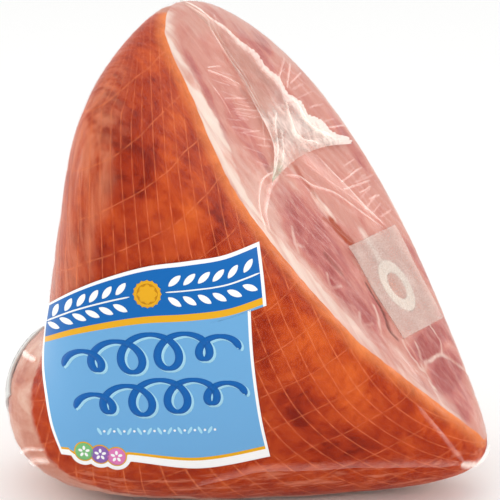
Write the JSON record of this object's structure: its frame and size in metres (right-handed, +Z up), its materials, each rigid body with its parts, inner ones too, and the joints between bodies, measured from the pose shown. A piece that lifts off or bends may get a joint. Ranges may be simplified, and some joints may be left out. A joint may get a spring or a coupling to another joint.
{
  "type": "bone-in half leg ham",
  "caption": "Cooked half leg ham on the bone in clear shrink film, with a sawn face, bone guard pad and wrapped label, resting on its flattened underside.",
  "frame": {"origin": "under the middle of the whole, on the plane that the ham rests on", "axes": "+Z up; the rind's broad side with the label faces -Y; the sawn face looks towards +X, up and a little to -Y"},
  "size_m": [0.2511, 0.2239, 0.252],
  "materials": {
    "ham": "orange-red smoked rind, pink sawn meat and pale fat under clinging clear film",
    "femur": "sawn cream bone",
    "marrow": "moist pink-brown marrow",
    "film_flap": "frosted, puckered clear film",
    "bone_guard": "milky translucent guard cloth",
    "front_label": "satin printed label in blues with gold lines and white edge",
    "rear_sticker": "plain white sticker with dark dashes"
  },
  "bodies": {
    "root": {"ham": "ham", "femur": "femur", "marrow": "marrow", "film_flap": "film_flap", "bone_guard": "bone_guard", "front_label": "front_label", "rear_sticker": "rear_sticker"}
  },
  "joints": []
}
